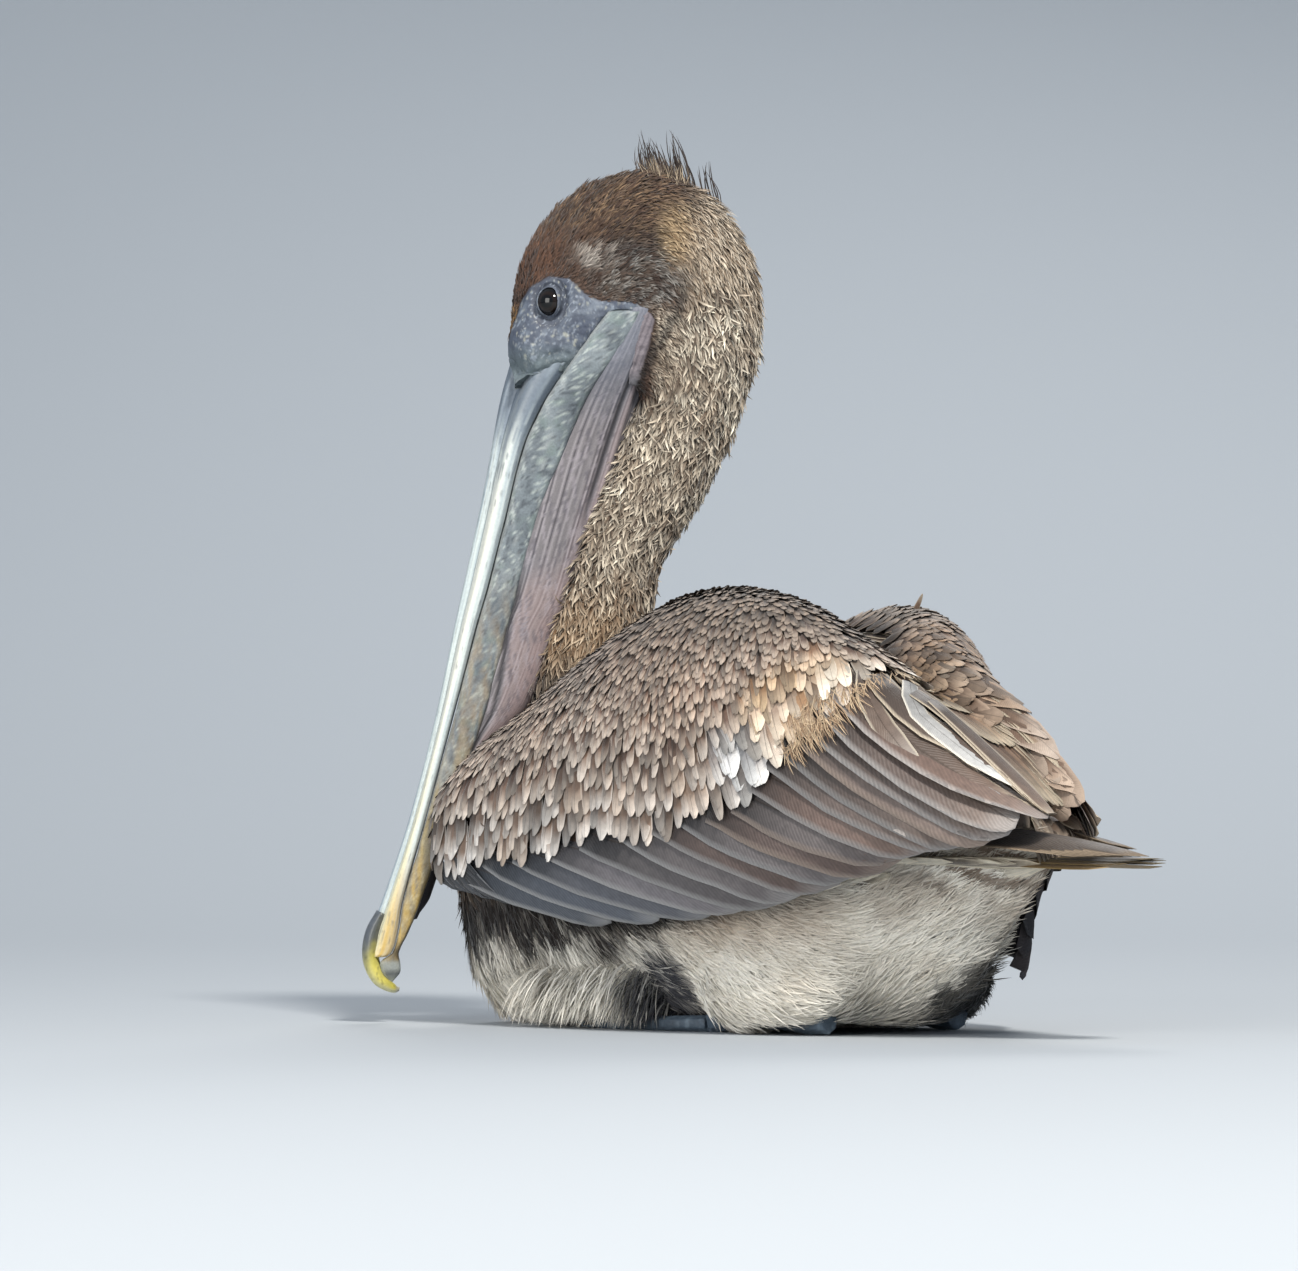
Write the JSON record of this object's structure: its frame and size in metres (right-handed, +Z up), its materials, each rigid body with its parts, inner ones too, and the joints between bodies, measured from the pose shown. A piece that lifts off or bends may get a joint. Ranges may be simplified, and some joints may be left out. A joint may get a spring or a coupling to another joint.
{
  "type": "brown pelican",
  "caption": "Life-size brown pelican at rest on its belly, head turned to its left, long hooked bill hanging down in front of the folded neck and wings closed.",
  "frame": {"origin": "on the floor under the belly, in the middle of the flat that the bird rests on", "axes": "+Z up, the trunk lies along X with the breast towards -X and the tail towards +X, the bird's left side towards -Y"},
  "size_m": [0.4535, 0.2014, 0.441],
  "materials": {
    "lower_bill": "horn, blue-grey to ochre",
    "bill_nail": "horn, yellow-green",
    "upper_bill": "horn, blue-grey to cream and yellow",
    "head_plumage": "short dense feathers",
    "eye": "wet, black-brown",
    "leg_skin": "scaly skin and webs",
    "neck_plumage": "short curled feathers with pale tips",
    "pouch_skin": "slack bare skin, finely grooved",
    "wing_feathers": "long vanes with pale edges",
    "dark_flight_feathers": "stiff dark vanes",
    "body_plumage": "loose white and brown feathers",
    "covert_feathers": "rows of pale-tipped coverts"
  },
  "bodies": {
    "root": {"bill_lower": "lower_bill", "bill_nail": "bill_nail", "bill_upper": "upper_bill", "crest": "head_plumage", "eye_left": "eye", "eye_right": "eye", "foot_left": "leg_skin", "foot_right": "leg_skin", "head": "head_plumage", "neck_lower": "neck_plumage", "neck_upper": "neck_plumage", "pouch": "pouch_skin", "scapulars": "wing_feathers", "tail": "dark_flight_feathers", "tarsus_left": "leg_skin", "tarsus_right": "leg_skin", "thigh_left": "body_plumage", "thigh_right": "body_plumage", "trunk": "body_plumage", "wing_left_coverts": "covert_feathers", "wing_left_primaries": "dark_flight_feathers", "wing_left_secondaries": "wing_feathers", "wing_left_tertials": "wing_feathers", "wing_right_coverts": "covert_feathers", "wing_right_primaries": "dark_flight_feathers", "wing_right_secondaries": "wing_feathers", "wing_right_tertials": "wing_feathers"}
  },
  "joints": []
}
